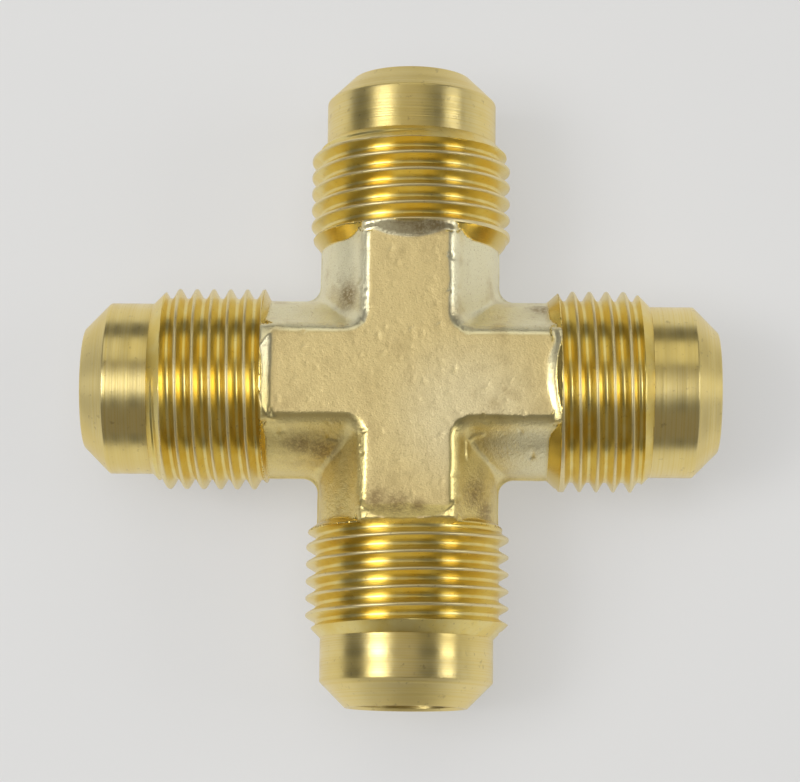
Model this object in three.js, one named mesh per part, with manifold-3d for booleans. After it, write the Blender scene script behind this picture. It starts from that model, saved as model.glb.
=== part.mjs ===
// A forged brass flare cross: one hot-forged body with four machined 45 degree male flare
// ports, whose bores meet in the middle. Millimetres. The bores cross at the origin, the
// parting plane of the forging is z = 0, and +Z is the side with the upper pair of flats.
//
// The real fitting is a single piece of brass. It is given here as the forged body, and a
// turned thread and a turned nose for each port, which meet face to face on flat planes.
import * as THREE from "three";
import { mergeVertices } from "three/addons/utils/BufferGeometryUtils.js";
import Module from "manifold-3d";

const wasm = await Module();
wasm.setup();

// ---- driving dimensions ----

// Screw thread: 3/4-16 UNF, external, right-hand, on every port.
const PITCH = 25.4 / 16;
const CREST_RADIUS = 9.45;
const ROOT_RADIUS = 8.55;
const ROOT_FLAT = 0.35;
const FLANK = Math.tan(Math.PI / 6); // axial run of a flank for each mm of depth

// Turned end of a port, from its open face inwards.
const BORE_RADIUS = 5.15;
const MOUTH_CHAMFER = 0.25;
const FACE_RADIUS = 5.69;
const NOSE_RADIUS = 8.05;
const NOSE_LENGTH = 6.4; // face to the foot of the thread's leading chamfer

// Forged body.
const ARM_RADIUS = 8.35;
const FLAT_HEIGHT = 8.5; // parting plane to the flats
const FLAT_HALF_WIDTH = 4;
const FLAT_SPREAD = 0.9; // how much wider each side of a flat's rib is at its foot
const RIB_FOOT = 6.5; // height of the rib's foot above the parting plane
const RIB_CORNER = 1.3; // plan radius where two ribs meet
const RAMP_SLOPE = 0.51; // rise of the ramp from the end of a flat up towards the thread
const RELIEF_LENGTH = 1.55; // slanted cut on the corners of the flats, from the thread's start
const RELIEF_FLOOR = 0.35;
const RELIEF_RADIUS = 8.75;
const LAND_HALF_WIDTH = 8.45; // trimmed flash land along the parting plane
const LAND_THICKNESS = 0.7;
const LAND_CORNER = 1.5;

const QUARTER = Math.PI / 2;

// Each port: direction in the XY plane, length to its face, start of its thread, length of the
// turned cone that rises to it, where the ramp leaves the flat, and the station of a thread
// crest on the port's own +Y side.
const PORTS = [
  { name: "right", turn: 0, length: 28.97, shoulder: 14.1, cone: 1.2, ramp: 12.15, crest: 15.26 },
  { name: "rear", turn: QUARTER, length: 30.06, shoulder: 14.45, cone: 1.3, ramp: 12.9, crest: 15.67 },
  { name: "left", turn: Math.PI, length: 30.44, shoulder: 13.6, cone: 0.75, ramp: 12.9, crest: 14.55 },
  { name: "front", turn: -QUARTER, length: 29.82, shoulder: 13.6, cone: 0.85, ramp: 11.95, crest: 14.21 },
];

const SIDES = 28; // facets round a turned surface
const RUN_OUT = 0.4; // turns before the shoulder over which the thread groove deepens
const CLEAR = 1; // how far a cutter stands past what it cuts
const STOCK = 40; // larger than the whole fitting

// ---- materials ----

const forgedBrass = new THREE.MeshStandardMaterial({
  name: "forged_brass",
  color: 0xcdbf8e,
  roughness: 0.42,
  metalness: 1,
});
const turnedBrass = new THREE.MeshStandardMaterial({
  name: "machined_brass",
  color: 0xcfa64b,
  roughness: 0.22,
  metalness: 1,
});

// ---- solids ----

// A closed geometry as a solid: only shared positions matter to a boolean.
function solid(geometry) {
  const bare = geometry.clone();
  bare.deleteAttribute("normal");
  bare.deleteAttribute("uv");
  const merged = mergeVertices(bare, 1e-4);
  return new wasm.Manifold(
    new wasm.Mesh({
      numProp: 3,
      vertProperties: merged.attributes.position.array,
      triVerts: new Uint32Array(merged.index.array),
    }),
  );
}

function geometryOf(body) {
  const { vertProperties, triVerts } = body.getMesh();
  const indexed = new THREE.BufferGeometry();
  indexed.setAttribute("position", new THREE.BufferAttribute(vertProperties, 3));
  indexed.setIndex(new THREE.BufferAttribute(triVerts, 1));
  const flat = indexed.toNonIndexed();
  flat.computeVertexNormals();
  return flat;
}

// A solid of revolution about +X from [radius, station] points that start and end on the axis.
function revolve(points) {
  const profile = points.map(([radius, station]) => new THREE.Vector2(radius, station));
  return solid(new THREE.LatheGeometry(profile, SIDES).rotateZ(-Math.PI / 2));
}

function block(x, y, z, centre = [0, 0, 0]) {
  return solid(new THREE.BoxGeometry(x, y, z).translate(...centre));
}

function turned(body, angle) {
  return body.rotate([0, 0, THREE.MathUtils.radToDeg(angle)]);
}

// Plan outline of a plus sign centred on the origin, with rounded inner corners.
function plusOutline(halfWidth, reach, corner) {
  const outline = new THREE.Shape();
  const centre = halfWidth + corner;
  outline.moveTo(reach, -halfWidth);
  for (let quarter = 0; quarter < 4; quarter += 1) {
    const turn = (quarter * Math.PI) / 2;
    const place = (x, y) => new THREE.Vector2(x, y).rotateAround(new THREE.Vector2(), turn);
    const end = place(reach, halfWidth);
    const middle = place(centre, centre);
    outline.lineTo(end.x, end.y);
    outline.absarc(middle.x, middle.y, corner, turn - Math.PI / 2, turn - Math.PI, true);
    const next = place(halfWidth, reach);
    outline.lineTo(next.x, next.y);
  }
  return outline;
}

// The two raised ribs that cross on each side, from one pair of flats through to the other.
function ribs() {
  const reach = Math.max(...PORTS.map((port) => port.shoulder));
  const outline = plusOutline(FLAT_HALF_WIDTH, reach, RIB_CORNER);
  const geometry = new THREE.ExtrudeGeometry(outline, {
    depth: 2 * RIB_FOOT,
    curveSegments: 6,
    bevelThickness: FLAT_HEIGHT - RIB_FOOT,
    bevelSize: FLAT_SPREAD,
    bevelSegments: 3,
  });
  return solid(geometry.translate(0, 0, -RIB_FOOT));
}

// What the lathe tool leaves of the ribs at one port: their corners are cut back on a slant.
function turningEnvelope(port) {
  const relief = port.shoulder - RELIEF_LENGTH;
  return revolve([
    [0, -STOCK],
    [STOCK, -STOCK],
    [STOCK, relief],
    [CREST_RADIUS + 0.2, relief],
    [RELIEF_RADIUS, port.shoulder - RELIEF_FLOOR],
    [RELIEF_RADIUS, port.shoulder],
    [0, port.shoulder],
  ]);
}

// The thin land that is left where the flash was trimmed off along the parting plane.
function flashLand() {
  const reach = Math.min(...PORTS.map((port) => port.shoulder - port.cone));
  const geometry = new THREE.ExtrudeGeometry(plusOutline(LAND_HALF_WIDTH, reach, LAND_CORNER), {
    depth: LAND_THICKNESS,
    curveSegments: 6,
    bevelEnabled: false,
  });
  return solid(geometry.translate(0, 0, -LAND_THICKNESS / 2));
}

// The plane ramps at the end of a flat, on both sides of the port, along +X.
function endRamp(port) {
  const top = FLAT_HEIGHT + RAMP_SLOPE * (port.shoulder - port.ramp);
  const outline = new THREE.Shape();
  outline.moveTo(port.ramp, -FLAT_HEIGHT);
  outline.lineTo(port.shoulder, -top);
  outline.lineTo(port.shoulder, top);
  outline.lineTo(port.ramp, FLAT_HEIGHT);
  const wedge = new THREE.ExtrudeGeometry(outline, {
    depth: 2 * FLAT_HALF_WIDTH,
    bevelEnabled: false,
  });
  wedge.translate(0, 0, -FLAT_HALF_WIDTH);
  const round = revolve([
    [0, 0],
    [CREST_RADIUS, 0],
    [CREST_RADIUS, port.shoulder],
    [0, port.shoulder],
  ]);
  return solid(wedge.rotateX(Math.PI / 2)).intersect(round);
}

// Everything of a port that is turned on the lathe, still without its thread, along +X.
function turnedEnd(port) {
  const nose = port.length - NOSE_LENGTH;
  const taper = NOSE_RADIUS - FACE_RADIUS;
  return revolve([
    [0, 0],
    [ARM_RADIUS, 0],
    [ARM_RADIUS, port.shoulder - port.cone],
    [CREST_RADIUS, port.shoulder],
    [CREST_RADIUS, nose - (CREST_RADIUS - NOSE_RADIUS)],
    [NOSE_RADIUS, nose],
    [NOSE_RADIUS, port.length - taper],
    [FACE_RADIUS, port.length],
    [0, port.length],
  ]);
}

// The bore of a port with its mouth chamfer, along +X.
function bore(port) {
  const mouth = BORE_RADIUS + MOUTH_CHAMFER;
  return revolve([
    [0, -BORE_RADIUS],
    [BORE_RADIUS, -BORE_RADIUS],
    [BORE_RADIUS, port.length - MOUTH_CHAMFER],
    [mouth, port.length],
    [mouth, port.length + CLEAR],
    [0, port.length + CLEAR],
  ]);
}

// The helical V groove between the crests, along +X. It rises out of the brass at its inner
// end, is at full depth from the shoulder on, and runs out through the leading chamfer.
function threadGroove(port) {
  const rim = CREST_RADIUS + 0.12; // just under the radius where neighbouring turns meet
  const foot = ROOT_FLAT / 2;
  const rootAtZero = port.crest + PITCH / 2;
  const stepAt = (station) => Math.ceil(((station - rootAtZero) / PITCH) * SIDES);
  const first = stepAt(port.shoulder - RUN_OUT * PITCH);
  const last = stepAt(port.length - NOSE_LENGTH);
  const positions = [];
  for (let step = first; step <= last; step += 1) {
    const angle = (step / SIDES) * 2 * Math.PI;
    const station = rootAtZero + (step / SIDES) * PITCH;
    const rise = Math.max(0, 1 - (step - first) / (RUN_OUT * SIDES));
    const root = THREE.MathUtils.lerp(ROOT_RADIUS, CREST_RADIUS, rise);
    const brim = foot + (rim - root) * FLANK;
    const section = [
      [root, -foot],
      [root, foot],
      [rim, brim],
      [rim, -brim],
    ];
    for (const [radius, offset] of section) {
      positions.push(station + offset, radius * Math.cos(angle), radius * Math.sin(angle));
    }
  }
  return solid(sweptGeometry(positions, 4));
}

// Joins successive loops of corners into a closed tube with flat caps.
function sweptGeometry(positions, corners) {
  const loops = positions.length / 3 / corners;
  const index = [];
  for (let loop = 0; loop + 1 < loops; loop += 1) {
    for (let corner = 0; corner < corners; corner += 1) {
      const a = loop * corners + corner;
      const b = loop * corners + ((corner + 1) % corners);
      index.push(a, b, a + corners, b, b + corners, a + corners);
    }
  }
  const end = (loops - 1) * corners;
  for (let corner = 1; corner + 1 < corners; corner += 1) {
    index.push(0, corner + 1, corner);
    index.push(end, end + corner, end + corner + 1);
  }
  const geometry = new THREE.BufferGeometry();
  geometry.setAttribute("position", new THREE.Float32BufferAttribute(positions, 3));
  geometry.setIndex(index);
  return geometry;
}

// The whole piece of brass, as forged, drilled and threaded.
function wholeFitting() {
  let rib = ribs();
  for (const port of PORTS) {
    rib = rib.intersect(turned(turningEnvelope(port), port.turn));
  }
  let body = rib.add(flashLand());
  for (const port of PORTS) {
    body = body.add(turned(turnedEnd(port).add(endRamp(port)), port.turn));
  }
  for (const port of PORTS) {
    body = body.subtract(turned(bore(port).add(threadGroove(port)), port.turn));
  }
  return body;
}

// ---- the model ----

function namedMesh(name, body, material) {
  const mesh = new THREE.Mesh(geometryOf(body), material);
  mesh.name = name;
  return mesh;
}

// The slice of a port between two stations, along +X.
function slice(from, to) {
  return block(to - from, STOCK, STOCK, [(from + to) / 2, 0, 0]);
}

const fitting = new THREE.Group();
fitting.name = "flare_cross";
const whole = wholeFitting();
let forgedBody = whole;

for (const port of PORTS) {
  const foot = port.length - NOSE_LENGTH;
  const tip = port.length + CLEAR;
  forgedBody = forgedBody.subtract(turned(slice(port.shoulder, tip), port.turn));
  const alongX = turned(whole, -port.turn);
  const group = new THREE.Group();
  group.name = `${port.name}_port`;
  group.rotation.z = port.turn;
  group.add(
    namedMesh(`${port.name}_thread`, alongX.intersect(slice(port.shoulder, foot)), turnedBrass),
    namedMesh(`${port.name}_flare_nose`, alongX.intersect(slice(foot, tip)), turnedBrass),
  );
  fitting.add(group);
}
fitting.add(namedMesh("forged_body", forgedBody, forgedBrass));

export default fitting;
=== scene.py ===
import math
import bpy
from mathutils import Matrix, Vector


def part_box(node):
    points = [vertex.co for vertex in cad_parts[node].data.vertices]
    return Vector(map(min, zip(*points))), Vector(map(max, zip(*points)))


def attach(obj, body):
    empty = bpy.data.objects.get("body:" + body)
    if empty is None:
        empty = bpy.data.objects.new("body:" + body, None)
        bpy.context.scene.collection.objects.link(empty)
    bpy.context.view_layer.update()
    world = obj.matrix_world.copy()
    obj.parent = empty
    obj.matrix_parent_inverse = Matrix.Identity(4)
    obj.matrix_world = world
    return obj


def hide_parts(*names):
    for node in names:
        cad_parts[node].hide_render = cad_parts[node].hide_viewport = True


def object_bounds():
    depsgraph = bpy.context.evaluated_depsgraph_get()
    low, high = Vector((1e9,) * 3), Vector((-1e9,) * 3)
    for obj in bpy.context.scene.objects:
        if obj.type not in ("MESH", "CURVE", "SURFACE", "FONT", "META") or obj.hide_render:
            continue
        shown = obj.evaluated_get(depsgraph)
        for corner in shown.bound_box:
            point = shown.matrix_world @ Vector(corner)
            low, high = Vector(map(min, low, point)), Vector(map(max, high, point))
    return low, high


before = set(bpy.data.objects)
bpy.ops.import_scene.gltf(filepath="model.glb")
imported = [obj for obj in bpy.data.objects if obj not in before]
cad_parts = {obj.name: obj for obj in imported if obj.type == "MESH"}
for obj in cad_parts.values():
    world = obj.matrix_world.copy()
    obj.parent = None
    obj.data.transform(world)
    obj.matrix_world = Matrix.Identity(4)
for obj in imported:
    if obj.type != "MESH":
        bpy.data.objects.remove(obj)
CAD_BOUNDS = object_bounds()

# A forged brass flare cross. Each CAD node is replaced by a finer piece of the same size.
#
# Shapes are worked out in millimetres and scaled once, when a piece's mesh is made. A port's own
# coordinates are its station (distance out from the crossing of the bores), its lateral (across
# the port, to the left of the way out) and the height above the parting plane.
from types import SimpleNamespace

import bmesh
import bpy
import numpy as np
from mathutils import Euler, Vector

MM = 0.001

# ---- sizes, in millimetres ----

# 3/4-16 UNF thread, with a 60 degree form.
PITCH = 25.4 / 16
ROOT_RADIUS = 8.55
ROOT_FLAT = 0.35
FLANK_ANGLE = math.radians(30)
FLANK = math.tan(FLANK_ANGLE)
CREST_ROUNDING = 0.12
ROOT_ROUNDING = 0.16
RUN_OUT = 0.4  # turns before the shoulder over which the groove deepens

# Nose and bore.
BORE_RADIUS = 5.15
MOUTH_CHAMFER = 0.25
FACE_RADIUS = 5.69
NOSE_CORNER = 0.25
FACE_CORNER = 0.06
MOUTH_CORNER = 0.04
THROAT_CORNER = 0.08
LONGEST_SIDE = 0.5

# Forged arms and the flat ribs along them.
ARM_RADIUS = 8.35
FLAT_HEIGHT = 8.5
DRAFT = 0.36  # how much wider a rib gets for each millimetre down its side
RIB_CORNER = 1.3
RIB_EDGE = 1.0
RIB_FILLET = 0.7
BURIED = 0.9  # how far below the flats the round arms stop, inside the ribs
CROTCH_RADIUS = 1.3
CROTCH_RADIUS_HIGH = 0.35
RAMP_EDGE = 0.3
RAMP_FILLET = 0.2
SKIN_WAVE = 0.012
SKIN_WAVE_LENGTH = 2.2

# Trimmed flash land along the parting plane.
LAND_HALF_WIDTH = 8.45
LAND_HALF_THICKNESS = 0.35
LAND_CORNER = 1.5
LAND_EDGE = 0.1
LAND_FILLET = 0.25

# The lathe's slanted cut on the corners of the flats, and its cone up to the thread.
RELIEF_LENGTH = 1.55
RELIEF_FLOOR = 0.35
RELIEF_RADIUS = 8.75
RELIEF_CLEARANCE = 0.2
CONE_FILLET = 0.12

# Marks of handling on the upper side: rise, width, and the path seen from above.
MARKS = [
    (0.10, 0.14, [(5.52, -7.33), (5.47, -5.95), (6.03, -5.4), (6.86, -5.2)]),
    (-0.12, 0.16, [(-7.3, -5.45), (-6.45, -5.62)]),
    (-0.16, 0.2, [(11.4, -6.85), (11.45, -6.8)]),
    (0.12, 0.12, [(-13.06, -2.91), (-13.1, -4.0), (-12.5, -4.1), (-12.5, -3.2)]),
]
PITS = 130
MARK_DEPTH = 0.3  # marks are worked out only this near to the skin
SEED = 16

# Mesh making.
NET_STEP = 0.16
PAST_SHOULDER = 0.4  # how far the forging's field runs on before it is cut at a shoulder
SIDES = 256
FAR = 10.0  # stands for a distance that never matters

# A port's shapes count only from this far inward of their own start, so that they leave the
# other ports alone.
RELIEF_REACH = 1.0
RAMP_REACH = 1.0
CONE_REACH = 2.5
THREAD_REACH = 1.5


def port(name, direction, cone, ramp, slope, crown, crest, half_width, offset):
    """One port: its way out, the length of its turned cone, its ramp, a crest and its rib.

    The ramp has a start, a slope and a crown, where 0 is plane and 1 is conical. The crest is the
    station of a thread crest on the port's lateral side.
    """
    way = np.array(direction, float)
    axis = int(np.argmax(np.abs(way)))
    nose_low, nose_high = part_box(f"{name}_flare_nose")
    nose_ends = abs(nose_low[axis]) / MM, abs(nose_high[axis]) / MM
    thread_low, thread_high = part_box(f"{name}_thread")
    thread_ends = abs(thread_low[axis]) / MM, abs(thread_high[axis]) / MM
    return SimpleNamespace(
        name=name,
        out=way,
        across=np.array([-way[1], way[0], 0.0]),
        axis="XY"[axis],
        cone=cone,
        ramp=ramp,
        slope=slope,
        crown=crown,
        crest=crest,
        half_width=half_width,
        offset=offset,
        shoulder=min(thread_ends),
        foot=min(nose_ends),
        face=max(nose_ends),
        crest_radius=thread_high[2] / MM,
        nose_radius=nose_high[2] / MM,
    )


PORTS = [
    port("right", (1, 0, 0), 1.2, 12.6, 0.45, 0.6, crest=15.26, half_width=4.45, offset=0.15),
    port("rear", (0, 1, 0), 1.3, 12.95, 0.6, 0.7, crest=15.67, half_width=4.40, offset=-0.03),
    port("left", (-1, 0, 0), 0.55, 12.5, 0.52, 0.0, crest=14.55, half_width=4.48, offset=-0.28),
    port("front", (0, -1, 0), 0.85, 11.8, 0.52, 0.1, crest=14.21, half_width=4.48, offset=0.08),
]
CREST_RADIUS = PORTS[0].crest_radius

# ---- distance fields, in millimetres, negative inside ----


def smooth_union(a, b, blend):
    """The union of two shapes, blended where their surfaces are closer than blend."""
    reach = np.maximum(blend - np.abs(a - b), 0) / blend
    return np.minimum(a, b) - reach * reach * blend / 4


def round_union(a, b, radius):
    """The union of two half spaces with a true fillet in the corner between them."""
    corner = np.hypot(np.maximum(radius - a, 0), np.maximum(radius - b, 0))
    return np.maximum(radius, np.minimum(a, b)) - corner


def round_intersection(a, b, radius):
    """The part that two half spaces share, with its edge rounded."""
    return -round_union(-a, -b, radius)


def port_coordinates(port, points):
    """Station, lateral and height of each point."""
    return points @ port.out, points @ port.across, points[:, 2]


def blend_step(low, high, value):
    """0 up to low, 1 from high, and a smooth change between them."""
    t = np.clip((value - low) / (high - low), 0, 1)
    return t * t * (3 - 2 * t)


def thread_radius(port, station, angle):
    """The radius the thread leaves, angle being from the lateral way towards +Z."""
    groove = port.crest + PITCH / 2 + PITCH * angle / (2 * math.pi)
    groove = groove + PITCH * np.round((station - groove) / PITCH)
    rise = np.clip((port.shoulder - groove) / (RUN_OUT * PITCH), 0, 1)
    root = ROOT_RADIUS + (CREST_RADIUS - ROOT_RADIUS) * rise
    flank = root + (np.abs(station - groove) - ROOT_FLAT / 2) / FLANK
    cut = -smooth_union(-root, -flank, ROOT_ROUNDING)
    cut = smooth_union(cut, CREST_RADIUS + 0 * cut, CREST_ROUNDING)
    chamfer = port.nose_radius + port.foot - station
    return np.minimum(np.minimum(cut, CREST_RADIUS), chamfer)


def waviness(points, amplitude, wavelength, waves=10):
    """Smooth seeded unevenness."""
    rng = np.random.default_rng(SEED)
    total = np.zeros(len(points))
    for _ in range(waves):
        way = rng.normal(size=3)
        way *= 2 * math.pi / (wavelength * rng.uniform(0.6, 1.6) * np.linalg.norm(way))
        total += np.sin(points @ way + rng.uniform(0, 2 * math.pi))
    return amplitude * total / math.sqrt(waves)


def rib_bars(points):
    """How far each point is outside the sides of the two ribs, at its own height."""
    x, y, z = points.T
    spread = DRAFT * (FLAT_HEIGHT - np.abs(z))
    right, rear, left, front = PORTS
    east = blend_step(-5, 5, x)
    north = blend_step(-5, 5, y)
    middle_y = east * right.offset - (1 - east) * left.offset
    width_x = east * right.half_width + (1 - east) * left.half_width
    middle_x = -north * rear.offset + (1 - north) * front.offset
    width_y = north * rear.half_width + (1 - north) * front.half_width
    along_x = np.abs(y - middle_y) - width_x - spread
    along_y = np.abs(x - middle_x) - width_y - spread
    return along_x, along_y


def forged_skin(points):
    """The forging before it goes on the lathe, apart from the ends of its ribs."""
    x, y, z = points.T
    height = np.abs(z)
    crotch = CROTCH_RADIUS + (CROTCH_RADIUS_HIGH - CROTCH_RADIUS) * blend_step(0.5, 4, height)
    arms = round_union(np.hypot(y, z) - ARM_RADIUS, np.hypot(x, z) - ARM_RADIUS, crotch)
    arms = np.maximum(arms, height - (FLAT_HEIGHT - BURIED))
    along_x, along_y = rib_bars(points)
    sides = round_union(along_x, along_y, RIB_CORNER) / math.hypot(1, DRAFT)
    ribs = round_intersection(sides, height - FLAT_HEIGHT, RIB_EDGE)
    for port in PORTS:
        ribs = np.maximum(ribs, relief(port, points))
    land = round_union(np.abs(y) - LAND_HALF_WIDTH, np.abs(x) - LAND_HALF_WIDTH, LAND_CORNER)
    land = round_intersection(land, height - LAND_HALF_THICKNESS, LAND_EDGE)
    skin = smooth_union(arms, ribs, RIB_FILLET)
    return smooth_union(skin, land, LAND_FILLET)


def relief(port, points):
    """The slanted cut that the lathe tool leaves on the corners of the flats."""
    station, lateral, height = port_coordinates(port, points)
    start = port.shoulder - RELIEF_LENGTH
    end = port.shoulder - RELIEF_FLOOR
    slope = (CREST_RADIUS + RELIEF_CLEARANCE - RELIEF_RADIUS) / (end - start)
    left = RELIEF_RADIUS + slope * np.maximum(end - station, 0)
    cut = (np.hypot(lateral, height) - left) / math.hypot(1, slope)
    return np.where(station > start - RELIEF_REACH, cut, -FAR)


def shoulder_cone(port, points):
    """The turned cone from the thread's crest down to the round arm."""
    station, lateral, height = port_coordinates(port, points)
    radius = np.hypot(lateral, height)
    slope = (CREST_RADIUS - ARM_RADIUS) / port.cone
    cone = radius - CREST_RADIUS + slope * (port.shoulder - station)
    cone = np.maximum(cone / math.hypot(1, slope), radius - CREST_RADIUS)
    return np.where(station > port.shoulder - CONE_REACH, cone, FAR)


def end_ramp(port, points):
    """The ramp from the end of a flat up towards the thread's crest."""
    station, lateral, height = port_coordinates(port, points)
    radius = np.hypot(lateral, height)
    level = np.abs(height) * (1 - port.crown) + radius * port.crown
    top = FLAT_HEIGHT + port.slope * (station - port.ramp)
    ramp = (level - top) / math.hypot(1, port.slope)
    ramp = np.maximum(ramp, radius - CREST_RADIUS)
    side = np.abs(lateral - port.offset) - port.half_width
    ramp = round_intersection(ramp, side, RAMP_EDGE)
    return np.where(station > port.ramp - RAMP_REACH, ramp, FAR)


def bump_along(points, rise, width, path):
    """A rise that follows a path of straight stretches and dies away beside it."""
    total = np.zeros(len(points))
    corners = np.array(path)
    low, high = corners.min(0) - 3 * width, corners.max(0) + 3 * width
    near = np.all((points[:, :2] > low) & (points[:, :2] < high), 1)
    place = points[near, :2]
    nearest = np.full(len(place), np.inf)
    for start, end in zip(corners, corners[1:]):
        way = end - start
        share = np.clip((place - start) @ way / (way @ way), 0, 1)
        gap = place - start - share[:, None] * way
        nearest = np.minimum(nearest, np.hypot(gap[:, 0], gap[:, 1]))
    total[near] = rise * np.exp(-((nearest / width) ** 2))
    return total


def pit_marks():
    """Seeded little pits and scratches, mostly on the flats."""
    rng = np.random.default_rng(SEED)
    marks = []
    for _ in range(PITS):
        along = rng.uniform(-12, 12)
        across = rng.uniform(-5, 5)
        start = np.array([along, across]) if rng.random() < 0.5 else np.array([across, along])
        turn = rng.uniform(0, 2 * math.pi)
        length = rng.uniform(0.05, 0.55)
        end = start + length * np.array([math.cos(turn), math.sin(turn)])
        rise = rng.uniform(-0.08, -0.03)
        width = rng.uniform(0.12, 0.2)
        marks.append((rise, width, [tuple(start), tuple(end)]))
    return marks


PIT_MARKS = pit_marks()


def marked(points, skin):
    """The skin with its small marks on both faces, those of MARKS only on the upper one."""
    near = np.abs(skin) < MARK_DEPTH
    some = points[near]
    raised = np.zeros(len(some))
    for rise, width, path in MARKS:
        raised += bump_along(some, rise, width, path) * (some[:, 2] > 0)
    for rise, width, path in PIT_MARKS:
        raised += bump_along(some, rise, width, path)
    skin = skin.copy()
    skin[near] -= raised
    return skin


def forging(points):
    """The whole forged body with its bores, running on a little past each shoulder plane."""
    skin = forged_skin(points) + waviness(points, SKIN_WAVE, SKIN_WAVE_LENGTH)
    skin = marked(points, skin)
    for port in PORTS:
        skin = smooth_union(skin, end_ramp(port, points), RAMP_FILLET)
        skin = smooth_union(skin, shoulder_cone(port, points), CONE_FILLET)
    for port in PORTS:
        station, lateral, height = port_coordinates(port, points)
        radius = np.hypot(lateral, height)
        angle = np.arctan2(height, lateral)
        groove = (radius - thread_radius(port, station, angle)) * math.cos(FLANK_ANGLE)
        near = station > port.shoulder - THREAD_REACH
        skin = np.where(near, np.maximum(skin, groove), skin)
        skin = np.maximum(skin, np.where(station > 0, BORE_RADIUS - radius, -FAR))
        skin = np.maximum(skin, station - port.shoulder - PAST_SHOULDER)
    return skin


def machined_share(points):
    """1 where the lathe has cut the forging, 0 on the forged skin."""
    share = np.zeros(len(points))
    forged = forged_skin(points)
    for port in PORTS:
        station, lateral, height = port_coordinates(port, points)
        radius = np.hypot(lateral, height)
        skin = np.minimum(forged, end_ramp(port, points))
        cone = shoulder_cone(port, points)
        share = np.maximum(share, blend_step(-0.02, 0.03, skin - cone))
        cut = (np.abs(relief(port, points)) < 0.03) & (station < port.shoulder)
        cut &= end_ramp(port, points) > 0.1
        share = np.maximum(share, cut & (radius > FLAT_HEIGHT))
        share = np.maximum(share, (radius < BORE_RADIUS + 0.05) & (station > 0))
    return share


# ---- meshes ----


def surface_net(field, low, high, step):
    """A quad mesh of the field's zero surface: one vertex in each cell that it crosses."""
    axes = [np.arange(a, b + step, step) for a, b in zip(low, high)]
    shape = tuple(len(axis) for axis in axes)
    points = np.stack(np.meshgrid(*axes, indexing="ij"), -1).reshape(-1, 3)
    values = np.concatenate([field(part) for part in np.array_split(points, 12)])
    values = values.reshape(shape)
    inside = values < 0
    corners = [np.array(c) for c in np.ndindex(2, 2, 2)]
    size = np.array(shape) - 1
    count = np.zeros(tuple(size), np.int8)
    for i, j, k in corners:
        count += inside[i : i + size[0], j : j + size[1], k : k + size[2]]
    cells = np.argwhere((count > 0) & (count < 8))
    number = np.full(tuple(size), -1)
    number[tuple(cells.T)] = np.arange(len(cells))
    total = np.zeros((len(cells), 3))
    hits = np.zeros(len(cells))
    for a in corners:
        for axis in range(3):
            if a[axis]:
                continue
            b = a.copy()
            b[axis] = 1
            value_a = values[tuple((cells + a).T)]
            value_b = values[tuple((cells + b).T)]
            crossed = (value_a < 0) != (value_b < 0)
            share = np.where(crossed, value_a / np.where(crossed, value_a - value_b, 1), 0)
            total += crossed[:, None] * (a + share[:, None] * (b - a))
            hits += crossed
    vertices = np.array(low) + step * (cells + total / hits[:, None])
    faces = []
    for axis in range(3):
        u, v = (axis + 1) % 3, (axis + 2) % 3
        first = np.take(inside, range(shape[axis] - 1), axis)
        second = np.take(inside, range(1, shape[axis]), axis)
        edges = np.argwhere(first != second)
        around = []
        for du, dv in ((-1, -1), (0, -1), (0, 0), (-1, 0)):
            cell = edges.copy()
            cell[:, u] += du
            cell[:, v] += dv
            around.append(number[tuple(cell.T)])
        quad = np.stack(around, 1)
        outward = first[tuple(edges.T)]
        faces.append(np.where(outward[:, None], quad, quad[:, ::-1]))
    return vertices, np.concatenate(faces)


def settle(field, vertices, rounds=3):
    """Moves each vertex onto the field's zero surface."""
    reach = 1e-3
    for _ in range(rounds):
        slope = np.stack(
            [
                (field(vertices + reach * way) - field(vertices - reach * way)) / (2 * reach)
                for way in np.eye(3)
            ],
            1,
        )
        square = np.maximum((slope**2).sum(1), 0.05)
        step = np.clip(field(vertices) / square, -0.1, 0.1)
        vertices = vertices - step[:, None] * slope
    return vertices


def evened(vertices, faces):
    """Each vertex moved half way to the middle of its neighbours."""
    near = np.concatenate([np.roll(faces, 1, axis=1), np.roll(faces, -1, axis=1)]).ravel()
    own = np.concatenate([faces, faces]).ravel()
    count = np.bincount(own, minlength=len(vertices))
    middle = [
        np.bincount(own, weights=vertices[near, axis], minlength=len(vertices)) / count
        for axis in range(3)
    ]
    return 0.5 * (vertices + np.stack(middle, 1))


def new_piece(name, vertices, faces, node, material, sharp):
    """An object from vertices in millimetres, which stands for a CAD node."""
    mesh = bpy.data.meshes.new(name)
    mesh.from_pydata((np.asarray(vertices) * MM).tolist(), [], [list(f) for f in faces])
    piece = bpy.data.objects.new(name, mesh)
    bpy.context.scene.collection.objects.link(piece)
    mesh.materials.append(material)
    work = bmesh.new()
    work.from_mesh(mesh)
    bmesh.ops.remove_doubles(work, verts=work.verts, dist=1e-7)
    bmesh.ops.dissolve_degenerate(work, edges=work.edges, dist=1e-7)
    bmesh.ops.recalc_face_normals(work, faces=work.faces)
    work.to_mesh(mesh)
    work.free()
    finish_piece(piece, node, sharp)
    return piece


def finish_piece(piece, node, sharp):
    """Smooth shading except at edges over so many degrees, and what the piece stands for."""
    mesh = piece.data
    mesh.polygons.foreach_set("use_smooth", [True] * len(mesh.polygons))
    mesh.set_sharp_from_angle(angle=math.radians(sharp))
    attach(piece, "root")
    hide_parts(node)


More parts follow.
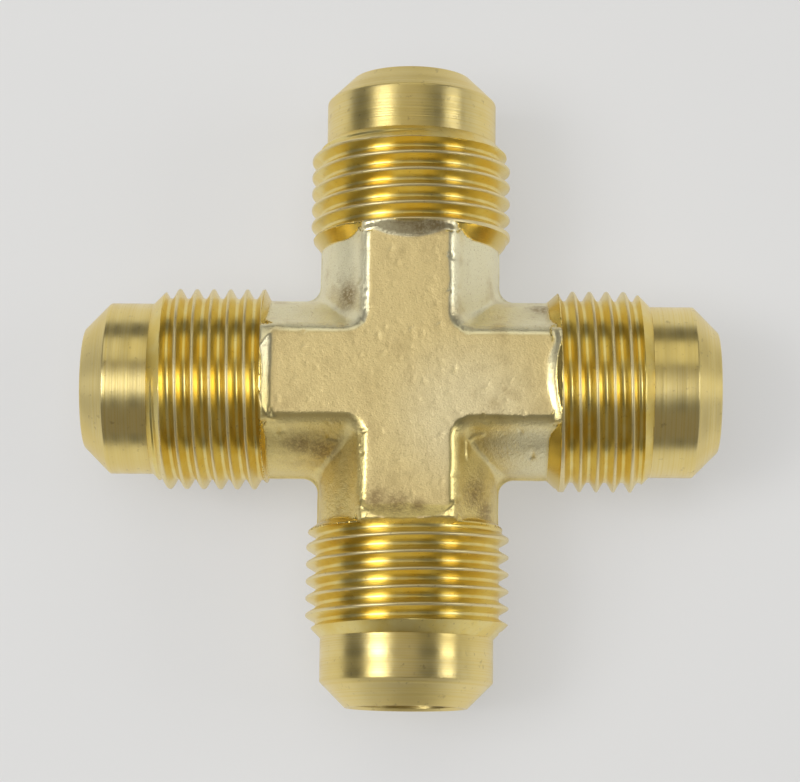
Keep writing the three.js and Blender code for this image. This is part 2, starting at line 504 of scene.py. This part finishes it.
def forged_piece(material):
    """The forging as one closed mesh, cut square at each shoulder plane."""
    right, rear, left, front = (port.shoulder + 2 * PAST_SHOULDER for port in PORTS)
    top = CREST_RADIUS + PAST_SHOULDER
    low = [-left, -front, -top]
    high = [right, rear, top]
    vertices, faces = surface_net(forging, low, high, NET_STEP)
    vertices = settle(forging, evened(vertices, faces))
    mesh = bpy.data.meshes.new("forging")
    mesh.from_pydata((vertices * MM).tolist(), [], faces.tolist())
    piece = bpy.data.objects.new("forging", mesh)
    bpy.context.scene.collection.objects.link(piece)
    mesh.materials.append(material)
    work = bmesh.new()
    work.from_mesh(mesh)
    for port in PORTS:
        cut = bmesh.ops.bisect_plane(
            work,
            geom=work.verts[:] + work.edges[:] + work.faces[:],
            dist=1e-8,
            plane_co=Vector(port.out * port.shoulder * MM),
            plane_no=Vector(port.out),
            clear_outer=True,
        )
        edges = [part for part in cut["geom_cut"] if isinstance(part, bmesh.types.BMEdge)]
        bmesh.ops.bridge_loops(work, edges=[edge for edge in edges if edge.is_boundary])
    bmesh.ops.triangulate(work, faces=[f for f in work.faces if len(f.verts) > 4])
    bmesh.ops.recalc_face_normals(work, faces=work.faces)
    work.to_mesh(mesh)
    work.free()
    settled = np.zeros(len(mesh.vertices) * 3)
    mesh.vertices.foreach_get("co", settled)
    machined = machined_share(settled.reshape(-1, 3) / MM)
    share = mesh.attributes.new("machined", "FLOAT", "POINT")
    share.data.foreach_set("value", machined.astype(np.float32))
    finish_piece(piece, "forged_body", sharp=50)
    return piece


def place(port, station, radius, angle):
    """A point of a turned surface in the row frame."""
    lateral = radius * np.cos(angle)
    height = radius * np.sin(angle)
    ground = np.multiply.outer(station, port.out) + np.multiply.outer(lateral, port.across)
    return ground + np.multiply.outer(height, [0, 0, 1.0])


def thread_rows():
    """Places of the mesh's rows in one pitch, as shares of it, close together at the corners."""
    root = ROOT_FLAT / 2
    brim = root + (CREST_RADIUS - ROOT_RADIUS) * FLANK
    half = [0, root - 0.08, root - 0.02, root + 0.04, root + 0.1, root + 0.2, root + 0.33]
    half += [brim - 0.1, brim - 0.05, brim - 0.01, brim + 0.03, brim + 0.07]
    half = np.array(half) / PITCH
    return np.concatenate([half, [0.5], 1 - half[:0:-1]])


def thread_piece(port, material):
    """One port's thread as a ring of columns whose rows follow the helix."""
    rows = thread_rows()
    angle = np.arange(SIDES) * 2 * math.pi / SIDES
    first = port.crest + PITCH / 2 + PITCH * angle / (2 * math.pi)
    turn_low = math.floor((port.shoulder - first.max()) / PITCH) - 1
    turn_high = math.ceil((port.foot - first.min()) / PITCH) + 1
    shares = np.concatenate([turn + rows for turn in range(turn_low, turn_high)])
    station = np.clip(first[:, None] + PITCH * shares[None, :], port.shoulder, port.foot)
    wide_angle = np.broadcast_to(angle[:, None], station.shape)
    radius = thread_radius(port, station, wide_angle)
    count = station.shape[1]
    vertices = [place(port, station.ravel(), radius.ravel(), wide_angle.ravel())]
    faces = []
    for column in range(SIDES):
        after = (column + 1) % SIDES
        shift = len(rows) if after == 0 else 0
        for row in range(count - 1 - shift):
            a = column * count + row
            b = after * count + row + shift
            faces.append((a, b, b + 1, a + 1))
    inner = SIDES * count
    for station_now in (port.shoulder, port.foot):
        ring = np.full(SIDES, station_now)
        vertices.append(place(port, ring, np.full(SIDES, BORE_RADIUS), angle))
    for column in range(SIDES):
        after = (column + 1) % SIDES
        near, far = inner + column, inner + SIDES + column
        near_after, far_after = inner + after, inner + SIDES + after
        faces.append((column * count, near, near_after, after * count))
        faces.append((column * count + count - 1, far, far_after, after * count + count - 1))
        faces.append((near, far, far_after, near_after))
    return new_piece(
        f"{port.name}_screw_thread",
        np.concatenate(vertices),
        faces,
        f"{port.name}_thread",
        material,
        sharp=50,
    )


def rounded_profile(points, radii, steps=5):
    """Replaces each corner of a closed outline by an arc of its radius."""
    outline = []
    count = len(points)
    for i, radius in enumerate(radii):
        corner = np.array(points[i], float)
        back = np.array(points[i - 1], float) - corner
        ahead = np.array(points[(i + 1) % count], float) - corner
        if radius == 0:
            outline.append(corner)
            continue
        back /= np.linalg.norm(back)
        ahead /= np.linalg.norm(ahead)
        half = math.acos(np.clip(back @ ahead, -1, 1)) / 2
        middle = back + ahead
        centre = corner + middle / np.linalg.norm(middle) * radius / math.sin(half)
        start = corner + back * radius / math.tan(half) - centre
        end = corner + ahead * radius / math.tan(half) - centre
        for step in range(steps + 1):
            way = start * (1 - step / steps) + end * step / steps
            outline.append(centre + way / np.linalg.norm(way) * radius)
    return np.array(outline)


def subdivided(outline, longest):
    """Splits the long sides of a closed outline."""
    dense = []
    for i, start in enumerate(outline):
        end = outline[(i + 1) % len(outline)]
        pieces = max(1, math.ceil(np.linalg.norm(end - start) / longest))
        dense += [start + (end - start) * k / pieces for k in range(pieces)]
    return np.array(dense)


def nose_piece(port, material):
    """One port's plain nose, turned from an outline in station and radius."""
    taper = port.nose_radius - FACE_RADIUS
    mouth = BORE_RADIUS + MOUTH_CHAMFER
    corners = [
        (port.foot, BORE_RADIUS),
        (port.foot, port.nose_radius),
        (port.face - taper, port.nose_radius),
        (port.face, FACE_RADIUS),
        (port.face, mouth),
        (port.face - MOUTH_CHAMFER, BORE_RADIUS),
    ]
    rounding = [0, 0, NOSE_CORNER, FACE_CORNER, MOUTH_CORNER, THROAT_CORNER]
    outline = subdivided(rounded_profile(corners, rounding), LONGEST_SIDE)
    angle = np.arange(SIDES) * 2 * math.pi / SIDES
    count = len(outline)
    station = np.broadcast_to(outline[:, 0], (SIDES, count)).ravel()
    radius = np.broadcast_to(outline[:, 1], (SIDES, count)).ravel()
    wide_angle = np.repeat(angle, count)
    faces = []
    for column in range(SIDES):
        after = (column + 1) % SIDES
        for row in range(count):
            below = (row + 1) % count
            here = (column * count + row, column * count + below)
            there = (after * count + row, after * count + below)
            faces.append((here[0], there[0], there[1], here[1]))
    return new_piece(
        f"{port.name}_seat",
        place(port, station, radius, wide_angle),
        faces,
        f"{port.name}_flare_nose",
        material,
        sharp=28,
    )


# ---- materials ----

# Places reach the nodes in metres, so a noise scale of 3000 makes spots of about 0.3 mm.
# The height of each surface's bump, from its lowest to its highest:
GRAIN_RELIEF = 0.07 * MM
TOOL_RELIEF = 0.02 * MM
THREAD_RELIEF = 0.008 * MM


class Graph:
    """Short hand for making a material's nodes."""

    def __init__(self, name):
        self.material = bpy.data.materials.new(name)
        self.material.use_nodes = True
        self.tree = self.material.node_tree
        self.tree.nodes.clear()

    def node(self, kind, inputs=None, **settings):
        made = self.tree.nodes.new("ShaderNode" + kind)
        for key, value in settings.items():
            setattr(made, key, value)
        for key, value in (inputs or {}).items():
            self.set(made.inputs[key], value)
        return made

    def set(self, socket, value):
        if isinstance(value, bpy.types.Node):
            value = value.outputs[0]
        if isinstance(value, bpy.types.NodeSocket):
            self.tree.links.new(value, socket)
        else:
            socket.default_value = value

    def math(self, operation, a, b=0.5):
        return self.node("Math", {0: a, 1: b}, operation=operation)

    def ramp(self, value, low, high, to_low=0.0, to_high=1.0):
        """to_low up to low, to_high from high, and a smooth change between them."""
        limits = {"From Min": low, "From Max": high, "To Min": to_low, "To Max": to_high}
        return self.node("MapRange", {"Value": value, **limits}, interpolation_type="SMOOTHSTEP")

    def between(self, share, a, b):
        """The number a where share is 0, and b where it is 1."""
        return self.node("MapRange", {"Value": share, "To Min": a, "To Max": b})

    def mix(self, share, a, b):
        """The colour a where share is 0, and b where it is 1."""
        made = self.node("Mix", data_type="RGBA")
        self.set(made.inputs["Factor"], share)
        self.set(made.inputs[6], a)
        self.set(made.inputs[7], b)
        return made.outputs[2]

    def noise(self, scale, detail=3.0, roughness=0.55, vector=None):
        made = self.node("TexNoise", {"Scale": scale, "Detail": detail, "Roughness": roughness})
        if vector is not None:
            self.set(made.inputs["Vector"], vector)
        return made

    def distance(self, place, point):
        """How far each place is from a point."""
        return self.node("VectorMath", {0: place, 1: point}, operation="DISTANCE").outputs["Value"]

    def finish(self, **inputs):
        shader = self.node("BsdfPrincipled", inputs)
        output = self.node("OutputMaterial")
        self.tree.links.new(shader.outputs[0], output.inputs[0])
        return self.material


def colour(red, green, blue):
    return (red, green, blue, 1.0)


# The pale and the gold skin colours are the two ends of the painted reflection on the arm sides.
PALE_REFLECTION_SKIN = colour(0.96, 0.90, 0.62)
GOLD_SHADE_SKIN = colour(0.90, 0.74, 0.30)
FLAT_SKIN = colour(0.80, 0.64, 0.30)
DARK_SKIN = colour(0.50, 0.37, 0.16)
STAIN = colour(0.37, 0.26, 0.11)
# The colour of the painted sheen on the upper flats.
FLAT_SHEEN = colour(0.90, 0.78, 0.47)
TURNED = colour(0.90, 0.74, 0.33)
TURNED_DEEP = colour(0.86, 0.67, 0.22)
THREAD = colour(0.90, 0.75, 0.30)
THREAD_DEEP = colour(0.86, 0.66, 0.18)
# The colour of the painted highlight on the thread crests.
CREST_HIGHLIGHT = colour(0.90, 0.77, 0.42)

# The middle of the painted sheen that makes the upper flats lighter.
FLAT_SHEEN_PLACE = (5.5 * MM, -3.5 * MM, 8.5 * MM)

# The middle of a painted pale reflection of the floor on the front side of the right arm.
PALE_REFLECTION_PLACE = (11.5 * MM, -7 * MM, 5 * MM)

# Tarnished places on the skin: x, y, z and radius, in millimetres.
STAINS = [
    (-5.7, 7.9, 6.2, 2.3),
    (6.6, -10.4, 5.8, 2.6),
    (7.4, -12.0, 4.4, 2.2),
    (-7.8, -6.6, 5.2, 2.5),
    (-9.9, -6.0, 5.8, 2.2),
    (12.4, 7.0, 4.8, 1.9),
    (-0.6, 14.6, 9.0, 1.9),
    (1.0, 14.5, 9.0, 2.4),
    (2.5, 14.4, 9.0, 1.9),
    (-2.7, -11.4, 8.5, 2.3),
    (-0.8, -11.7, 8.5, 2.0),
    (1.0, -12.0, 8.6, 1.4),
]


def stains(graph, place, patches):
    """1 in the middle of each tarnished place, 0 away from them all, with uneven borders."""
    stretch = graph.ramp(patches, 0.35, 0.65, 0.75, 1.3)
    total = 0.0
    for x, y, z, radius in STAINS:
        gap = graph.math("MULTIPLY", graph.distance(place, (x * MM, y * MM, z * MM)), stretch)
        spot = graph.ramp(gap, 0.1 * radius * MM, radius * MM, 1, 0)
        total = graph.math("MAXIMUM", total, spot)
    return total


def worn_edges(graph, parts, up):
    """1 on the rounded edges of the ribs and on the ramps of the left and right arms."""
    steep = graph.math("MULTIPLY", graph.ramp(up, 0.8, 0.9), graph.ramp(up, 0.955, 0.988, 1, 0))
    x = graph.math("ABSOLUTE", parts.outputs["X"])
    y = graph.math("ABSOLUTE", parts.outputs["Y"])
    past = graph.math("SUBTRACT", x, 8.8 * MM)
    across = graph.math("MAXIMUM", graph.math("MINIMUM", x, y), past)
    return graph.math("MULTIPLY", steep, graph.ramp(across, 3.2 * MM, 3.8 * MM))


def forged_brass():
    """Blasted forging skin: pale on the rear sides and gold on the front ones, a painted
    reflection over random tone, with a painted sheen on the upper flats.
    """
    graph = Graph("forged_brass")
    place = graph.node("TexCoord").outputs["Object"]
    parts = graph.node("SeparateXYZ", {0: place})
    grain = graph.noise(3000, 4, 0.65, place)
    patches = graph.noise(420, 3, 0.5, place)
    speckle = graph.noise(7500, 2, 0.5, place)
    clouds = graph.noise(110, 2, 0.5, place)
    normal = graph.node("NewGeometry").outputs["Normal"]
    up = graph.math("ABSOLUTE", graph.node("SeparateXYZ", {0: normal}).outputs["Z"])
    flat = graph.ramp(up, 0.94, 0.992)
    # Painted reflection: the sides turn pale towards the rear, where they reflect the bright
    # floor, and gold towards the front, where they reflect darker, warmer surroundings; the cloud
    # noise adds random tone.
    front = graph.math("MULTIPLY", graph.ramp(parts.outputs["Y"], -11 * MM, 11 * MM, 1, 0), 0.7)
    reflection_and_tone = graph.math("ADD", front, graph.math("MULTIPLY", clouds, 0.5))
    side = graph.mix(graph.ramp(reflection_and_tone, 0.2, 0.9), PALE_REFLECTION_SKIN, GOLD_SHADE_SKIN)
    # Painted reflection: a pale patch on the right arm's front side, where it reflects the bright
    # floor.
    pale_reflection = graph.ramp(graph.distance(place, PALE_REFLECTION_PLACE), 2 * MM, 6 * MM, 0.8, 0)
    side = graph.mix(pale_reflection, side, PALE_REFLECTION_SKIN)
    # Painted sheen: the upper flats turn lighter around one place, standing for the broad
    # brightness of their metal.
    flat_sheen = graph.ramp(graph.distance(place, FLAT_SHEEN_PLACE), 2 * MM, 9 * MM, 0.75, 0)
    skin = graph.mix(flat, side, graph.mix(flat_sheen, FLAT_SKIN, FLAT_SHEEN))
    skin = graph.mix(graph.ramp(patches, 0.5, 0.8, 0, 0.45), skin, DARK_SKIN)
    skin = graph.mix(graph.ramp(speckle, 0.58, 0.72, 0, 0.5), skin, DARK_SKIN)
    broken = graph.ramp(grain, 0.3, 0.6, 0.35, 1)
    tarnish = graph.math("MULTIPLY", stains(graph, place, patches), broken)
    skin = graph.mix(graph.math("MULTIPLY", tarnish, 0.9), skin, STAIN)
    machined = graph.node("Attribute", attribute_name="machined").outputs["Fac"]
    base = graph.mix(machined, skin, TURNED_DEEP)
    edge = worn_edges(graph, parts, up)
    side_rough = graph.ramp(grain, 0.3, 0.7, 0.28, 0.4)
    flat_rough = graph.ramp(grain, 0.3, 0.7, 0.4, 0.56)
    rough = graph.between(flat, side_rough, flat_rough)
    rough = graph.between(edge, rough, 0.29)
    rough = graph.between(machined, rough, 0.24)
    metal = graph.between(flat, 0.92, 0.66)
    metal = graph.between(edge, metal, 1.0)
    metal = graph.between(machined, metal, 1.0)
    height = graph.math("ADD", grain, graph.math("MULTIPLY", speckle, 0.4))
    smooth = graph.math("MAXIMUM", machined, graph.math("MULTIPLY", edge, 0.75))
    height = graph.math("MULTIPLY", height, graph.math("SUBTRACT", 1.0, smooth))
    bump = graph.node("Bump", {"Height": height, "Strength": 1.0, "Distance": GRAIN_RELIEF})
    return graph.finish(
        **{"Base Color": base, "Metallic": metal, "Roughness": rough, "Normal": bump}
    )


def axial_place(graph, axis):
    """The object's coordinates, the one along a port's axis, and the distance from it."""
    place = graph.node("TexCoord").outputs["Object"]
    parts = graph.node("SeparateXYZ", {0: place})
    along = parts.outputs[axis]
    side = parts.outputs["Y" if axis == "X" else "X"]
    height = parts.outputs["Z"]
    side_square = graph.math("MULTIPLY", side, side)
    height_square = graph.math("MULTIPLY", height, height)
    return place, along, graph.math("SQRT", graph.math("ADD", side_square, height_square))


def rings(graph, along, scale, detail):
    """Noise that changes only along the axis, as the marks of a turning tool do."""
    made = graph.node(
        "TexNoise", {"W": along, "Scale": scale, "Detail": detail}, noise_dimensions="1D"
    )
    return made.outputs[0]


def turned_brass(axis):
    """Satin turned brass, brushed round the port's axis."""
    graph = Graph(f"turned_brass_{axis.lower()}")
    place, along, _ = axial_place(graph, axis)
    marks = rings(graph, along, 5200, 3)
    broad = rings(graph, along, 900, 2)
    clouds = graph.noise(160, 2, 0.5, place)
    dirt = graph.noise(1500, 3, 0.6, place)
    base = graph.mix(graph.ramp(clouds, 0.4, 0.65, 0, 0.6), TURNED, TURNED_DEEP)
    base = graph.mix(graph.ramp(marks, 0.45, 0.65, 0, 0.6), base, TURNED_DEEP)
    base = graph.mix(graph.ramp(dirt, 0.6, 0.75, 0, 0.5), base, DARK_SKIN)
    rough = graph.ramp(broad, 0.3, 0.7, 0.32, 0.42)
    height = graph.math("ADD", marks, graph.math("MULTIPLY", dirt, 0.15))
    bump = graph.node("Bump", {"Height": height, "Strength": 0.8, "Distance": TOOL_RELIEF})
    tangent = graph.node("Tangent", direction_type="RADIAL", axis=axis)
    return graph.finish(
        **{
            "Base Color": base,
            "Metallic": 1.0,
            "Roughness": rough,
            "Anisotropic": 0.75,
            "Anisotropic Rotation": 0.25,
            "Normal": bump,
            "Tangent": tangent,
        }
    )


def threaded_brass(axis):
    """Cut thread: deeper and smoother in the grooves, with a painted highlight that lightens the
    crests.
    """
    graph = Graph(f"threaded_brass_{axis.lower()}")
    place, along, radius = axial_place(graph, axis)
    clouds = graph.noise(300, 3, 0.6, place)
    nicks = graph.noise(2600, 3, 0.6, place)
    # Painted highlight: the crests get a lighter colour, standing for the bright lines the light
    # draws along them.
    crest = graph.ramp(radius, (CREST_RADIUS - 0.16) * MM, (CREST_RADIUS - 0.05) * MM)
    base = graph.mix(graph.ramp(clouds, 0.35, 0.65), THREAD, THREAD_DEEP)
    base = graph.mix(crest, base, CREST_HIGHLIGHT)
    base = graph.mix(graph.ramp(nicks, 0.6, 0.75, 0, 0.5), base, DARK_SKIN)
    rough = graph.between(crest, 0.3, 0.42)
    marks = rings(graph, along, 6500, 2)
    height = graph.math("ADD", marks, graph.math("MULTIPLY", nicks, 0.6))
    bump = graph.node("Bump", {"Height": height, "Strength": 0.5, "Distance": THREAD_RELIEF})
    tangent = graph.node("Tangent", direction_type="RADIAL", axis=axis)
    return graph.finish(
        **{
            "Base Color": base,
            "Metallic": 1.0,
            "Roughness": rough,
            "Anisotropic": 0.5,
            "Anisotropic Rotation": 0.25,
            "Normal": bump,
            "Tangent": tangent,
        }
    )


def floor_paper():
    graph = Graph("floor_paper")
    return graph.finish(
        **{
            "Base Color": colour(0.34, 0.34, 0.343),
            "Roughness": 0.9,
            "Emission Color": colour(1.0, 1.0, 0.99),
            "Emission Strength": 0.40,
        }
    )


# ---- stage ----

# The camera looks down on the flats from a little in front. Its angles are in radians.
CAMERA_PLACE = Vector((3.687, -42.301, 245.307)) * MM
CAMERA_TILT = 0.1706
CAMERA_SWING = 0.0185
CAMERA_ROLL = 0.0108
CAMERA_LENS = 118.69
FLOOR_REACH = 1.6


def make_camera():
    data = bpy.data.cameras.new("camera")
    data.lens = CAMERA_LENS
    data.sensor_width = 36
    data.clip_start = 0.01
    camera = bpy.data.objects.new("camera", data)
    camera.rotation_mode = "ZXY"
    camera.rotation_euler = Euler((CAMERA_TILT, CAMERA_SWING, CAMERA_ROLL), "ZXY")
    camera.location = CAMERA_PLACE
    bpy.context.scene.collection.objects.link(camera)
    bpy.context.scene.camera = camera


def softbox(name, azimuth, elevation, distance, width, height, glow, tint=(1, 1, 1), glossy=True):
    """A rectangular light that faces the origin. Azimuth is from +X towards +Y, in degrees.

    Distance and size are in metres. Glow is the radiance of its face, whatever its size.
    """
    data = bpy.data.lights.new(name, "AREA")
    data.shape = "RECTANGLE"
    data.size = width
    data.size_y = height
    data.energy = glow * math.pi * width * height
    data.color = tint
    light = bpy.data.objects.new(name, data)
    across = math.cos(math.radians(elevation))
    way = Vector(
        (
            across * math.cos(math.radians(azimuth)),
            across * math.sin(math.radians(azimuth)),
            math.sin(math.radians(elevation)),
        )
    )
    light.location = way * distance
    light.rotation_euler = way.to_track_quat("Z", "Y").to_euler()
    light.visible_glossy = glossy
    bpy.context.scene.collection.objects.link(light)


def make_floor():
    """The fitting lies on its thread crests."""
    mesh = bpy.data.meshes.new("floor")
    height = CAD_BOUNDS[0][2]
    reach = FLOOR_REACH
    corners = [(-reach, -reach), (reach, -reach), (reach, reach), (-reach, reach)]
    mesh.from_pydata([(x, y, height) for x, y in corners], [], [(0, 1, 2, 3)])
    mesh.materials.append(floor_paper())
    floor = bpy.data.objects.new("floor", mesh)
    bpy.context.scene.collection.objects.link(floor)


def make_room():
    world = bpy.data.worlds.new("room")
    world.use_nodes = True
    background = world.node_tree.nodes["Background"]
    background.inputs["Color"].default_value = colour(0.95, 0.97, 1.0)
    background.inputs["Strength"].default_value = 0.12
    scene = bpy.context.scene
    scene.world = world
    scene.view_settings.view_transform = "Standard"
    scene.view_settings.look = "None"
    scene.view_settings.exposure = 0
    scene.view_settings.gamma = 1


make_camera()
make_room()
make_floor()
softbox("key", 184, 53, 0.8, 0.28, 0.28, 6.0)
softbox("key_rim", 184, 53, 0.82, 0.5, 0.5, 1.0)
softbox("fill", 2, 33, 0.8, 0.36, 0.28, 3.0)
softbox("low_east", 0, 8, 0.8, 0.9, 0.16, 0.6)
softbox("south", 270, 36, 0.8, 0.9, 0.6, 0.13, tint=(1, 0.8, 0.45))
softbox("north", 90, 44, 0.8, 0.8, 0.5, 0.75, tint=(1, 0.96, 0.8))
softbox("overhead", 90, 84, 0.9, 0.5, 0.6, 0.3, tint=(1, 0.9, 0.74))
softbox("lift", 180, 80, 1.0, 1.0, 1.0, 1.4, glossy=False)

forged_piece(forged_brass())
turned = {axis: turned_brass(axis) for axis in "XY"}
threaded = {axis: threaded_brass(axis) for axis in "XY"}
for each in PORTS:
    thread_piece(each, threaded[each.axis])
    nose_piece(each, turned[each.axis])
